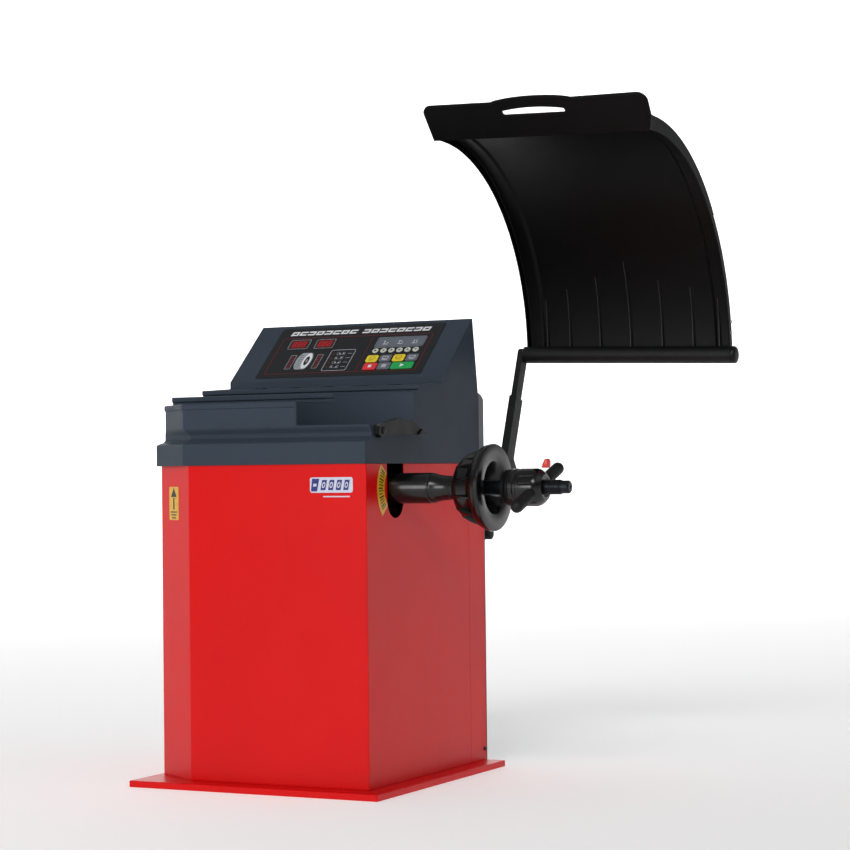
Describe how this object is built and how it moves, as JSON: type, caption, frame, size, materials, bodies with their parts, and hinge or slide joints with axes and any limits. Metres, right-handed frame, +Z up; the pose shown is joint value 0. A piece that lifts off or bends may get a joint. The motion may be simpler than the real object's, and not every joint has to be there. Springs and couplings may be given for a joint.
{
  "type": "wheel balancer",
  "caption": "Wheel balancer: cabinet with tool tray and control head, spindle with flange and quick nut, distance gauge, and a wheel guard that swings down.",
  "frame": {"origin": "centre of the base plate's underside, on the floor", "axes": "+Z up, +X along the spindle towards its free end, -Y to the operator"},
  "size_m": [1.316, 0.9509, 1.7138],
  "materials": {
    "red_paint": "smooth gloss enamel",
    "grey_sheet": "fine powder coat",
    "cover_plastic": "fine grained moulding",
    "black_plastic": "satin moulding",
    "black_metal": "black oxide and black enamel",
    "steel": "ground",
    "zinc": "zinc plated",
    "cast_alloy": "as cast",
    "rubber": "matt",
    "membrane": "printed polyester film",
    "red_window": "smoked red window",
    "key_white": "satin",
    "key_grey": "satin",
    "key_yellow": "satin",
    "key_red": "satin",
    "key_green": "satin",
    "lever_red": "gloss",
    "circuit": "solder mask"
  },
  "bodies": {
    "cabinet": {"base_plate": "red_paint", "cabinet_front_panel": "red_paint", "cabinet_right_panel": "red_paint", "rear_post_right": "red_paint", "rear_post_left": "red_paint", "rear_cover": "grey_sheet", "power_inlet": "black_plastic", "switch_frame": "black_plastic", "side_screw": "zinc", "top_cover": "cover_plastic", "control_membrane": "membrane", "display_left": "red_window", "display_right": "red_window", "control_board": "circuit", "power_board": "circuit", "spindle_pedestal": "zinc", "rear_force_sensor": "steel", "front_force_sensor": "steel", "encoder_sensor": "black_plastic", "spindle_housing": "black_metal", "rear_bearing": "steel", "front_bearing": "steel", "drive_motor": "cast_alloy", "drive_belt": "rubber", "gauge_guide": "zinc", "guard_bracket": "black_metal", "guard_stop": "rubber", "guard_spring": "steel"},
    "spindle": {"spindle_shaft": "black_metal", "flange_hub": "black_metal", "spindle_pulley": "black_plastic", "encoder_disc": "zinc"},
    "motor_rotor": {"motor_pulley": "zinc"},
    "pressure_cup": {"nut_pressure_cup": "black_plastic"},
    "quick_nut": {"quick_nut_body": "black_metal", "nut_grip_back": "rubber", "nut_grip_front": "rubber"},
    "release_lever": {"nut_release_lever": "lever_red"},
    "gauge_slide": {"gauge_rod": "steel"},
    "gauge_pointer": {"gauge_arm": "black_plastic"},
    "rocker": {"power_rocker": "black_plastic"},
    "wheel_guard": {"guard_arm": "black_metal", "guard_arm_tube": "black_metal", "guard_rail": "black_metal", "rail_end_cap": "black_plastic", "guard_shell": "black_plastic", "guard_pivot_shaft": "steel"},
    "key_round_1_cap": {"key_round_1": "key_white"},
    "key_round_2_cap": {"key_round_2": "key_white"},
    "key_round_3_cap": {"key_round_3": "key_white"},
    "key_round_4_cap": {"key_round_4": "key_white"},
    "key_round_5_cap": {"key_round_5": "key_white"},
    "key_round_6_cap": {"key_round_6": "key_white"},
    "key_square_1_cap": {"key_square_1": "key_yellow"},
    "key_square_2_cap": {"key_square_2": "key_grey"},
    "key_square_3_cap": {"key_square_3": "key_yellow"},
    "key_square_4_cap": {"key_square_4": "key_grey"},
    "key_stop_cap": {"key_stop": "key_red"},
    "key_menu_cap": {"key_menu": "key_grey"},
    "key_start_cap": {"key_start": "key_green"}
  },
  "joints": [
    {"name": "spindle_spin", "type": "hinge", "parent": "cabinet", "child": "spindle", "pos_m": [0.577, -0.151, 0.75], "axis": [1, 0, 0], "continuous": true},
    {"name": "motor_spin", "type": "hinge", "parent": "cabinet", "child": "motor_rotor", "pos_m": [0.024, 0.02, 0.5], "axis": [1, 0, 0], "continuous": true},
    {"name": "nut_slide", "type": "slide", "parent": "spindle", "child": "pressure_cup", "axis": [1, 0, 0], "range_m": [-0.028, 0.05]},
    {"name": "nut_spin", "type": "hinge", "parent": "pressure_cup", "child": "quick_nut", "pos_m": [0.628, -0.151, 0.75], "axis": [1, 0, 0], "continuous": true},
    {"name": "nut_release", "type": "hinge", "parent": "quick_nut", "child": "release_lever", "pos_m": [0.705, -0.151, 0.797], "axis": [0, 1, 0], "range_deg": [0, 20], "stiffness_Nm_per_rad": 0.4},
    {"name": "gauge_pull", "type": "slide", "parent": "cabinet", "child": "gauge_slide", "axis": [1, 0, 0], "range_m": [0, 0.25]},
    {"name": "gauge_swing", "type": "hinge", "parent": "gauge_slide", "child": "gauge_pointer", "pos_m": [0.3055, -0.244, 0.893], "axis": [1, 0, 0], "range_deg": [0, 120]},
    {"name": "rocker_tilt", "type": "hinge", "parent": "cabinet", "child": "rocker", "pos_m": [-0.25, 0.3633, 0.24], "axis": [1, 0, 0], "range_deg": [-14, 0]},
    {"name": "guard_swing", "type": "hinge", "parent": "cabinet", "child": "wheel_guard", "pos_m": [0.336, 0.394, 0.702], "axis": [1, 0, 0], "range_deg": [0, 43]},
    {"name": "key_round_1_press", "type": "slide", "parent": "cabinet", "child": "key_round_1_cap", "axis": [0, 0.6623, -0.7492], "range_m": [0, 0.001], "stiffness_N_per_m": 400},
    {"name": "key_round_2_press", "type": "slide", "parent": "cabinet", "child": "key_round_2_cap", "axis": [0, 0.6623, -0.7492], "range_m": [0, 0.001], "stiffness_N_per_m": 400},
    {"name": "key_round_3_press", "type": "slide", "parent": "cabinet", "child": "key_round_3_cap", "axis": [0, 0.6623, -0.7492], "range_m": [0, 0.001], "stiffness_N_per_m": 400},
    {"name": "key_round_4_press", "type": "slide", "parent": "cabinet", "child": "key_round_4_cap", "axis": [0, 0.6623, -0.7492], "range_m": [0, 0.001], "stiffness_N_per_m": 400},
    {"name": "key_round_5_press", "type": "slide", "parent": "cabinet", "child": "key_round_5_cap", "axis": [0, 0.6623, -0.7492], "range_m": [0, 0.001], "stiffness_N_per_m": 400},
    {"name": "key_round_6_press", "type": "slide", "parent": "cabinet", "child": "key_round_6_cap", "axis": [0, 0.6623, -0.7492], "range_m": [0, 0.001], "stiffness_N_per_m": 400},
    {"name": "key_square_1_press", "type": "slide", "parent": "cabinet", "child": "key_square_1_cap", "axis": [0, 0.6623, -0.7492], "range_m": [0, 0.001], "stiffness_N_per_m": 400},
    {"name": "key_square_2_press", "type": "slide", "parent": "cabinet", "child": "key_square_2_cap", "axis": [0, 0.6623, -0.7492], "range_m": [0, 0.001], "stiffness_N_per_m": 400},
    {"name": "key_square_3_press", "type": "slide", "parent": "cabinet", "child": "key_square_3_cap", "axis": [0, 0.6623, -0.7492], "range_m": [0, 0.001], "stiffness_N_per_m": 400},
    {"name": "key_square_4_press", "type": "slide", "parent": "cabinet", "child": "key_square_4_cap", "axis": [0, 0.6623, -0.7492], "range_m": [0, 0.001], "stiffness_N_per_m": 400},
    {"name": "key_stop_press", "type": "slide", "parent": "cabinet", "child": "key_stop_cap", "axis": [0, 0.6623, -0.7492], "range_m": [0, 0.001], "stiffness_N_per_m": 400},
    {"name": "key_menu_press", "type": "slide", "parent": "cabinet", "child": "key_menu_cap", "axis": [0, 0.6623, -0.7492], "range_m": [0, 0.001], "stiffness_N_per_m": 400},
    {"name": "key_start_press", "type": "slide", "parent": "cabinet", "child": "key_start_cap", "axis": [0, 0.6623, -0.7492], "range_m": [0, 0.001], "stiffness_N_per_m": 400}
  ],
  "couplings": [
    {"joint": "motor_spin", "follows": "spindle_spin", "ratio": 3}
  ]
}
